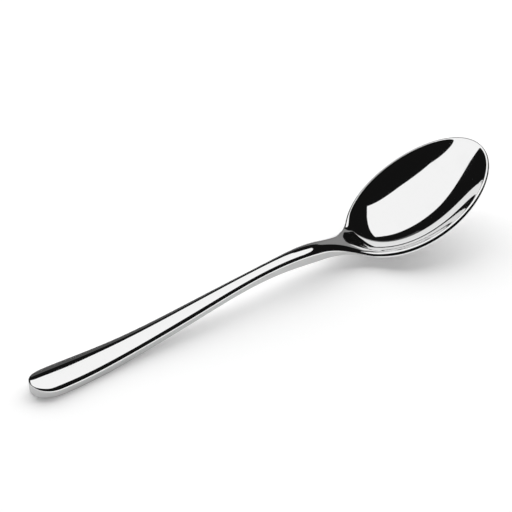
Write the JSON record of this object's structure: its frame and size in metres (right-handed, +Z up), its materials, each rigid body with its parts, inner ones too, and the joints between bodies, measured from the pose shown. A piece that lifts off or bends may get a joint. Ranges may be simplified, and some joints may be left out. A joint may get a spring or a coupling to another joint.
{
  "type": "demitasse spoon",
  "caption": "small polished steel coffee spoon with an oval bowl, a bent neck and a domed handle that widens to a round end",
  "frame": {"origin": "middle of the spoon's bounding box, on the table it rests on", "axes": "+X from the handle's end to the bowl's tip, +Y across the spoon, +Z up out of the hollow of the bowl"},
  "size_m": [0.11, 0.0242, 0.0155],
  "materials": {
    "polished_steel": "mirror-polished stainless steel"
  },
  "bodies": {
    "root": {"bowl": "polished_steel", "handle": "polished_steel"}
  },
  "joints": []
}
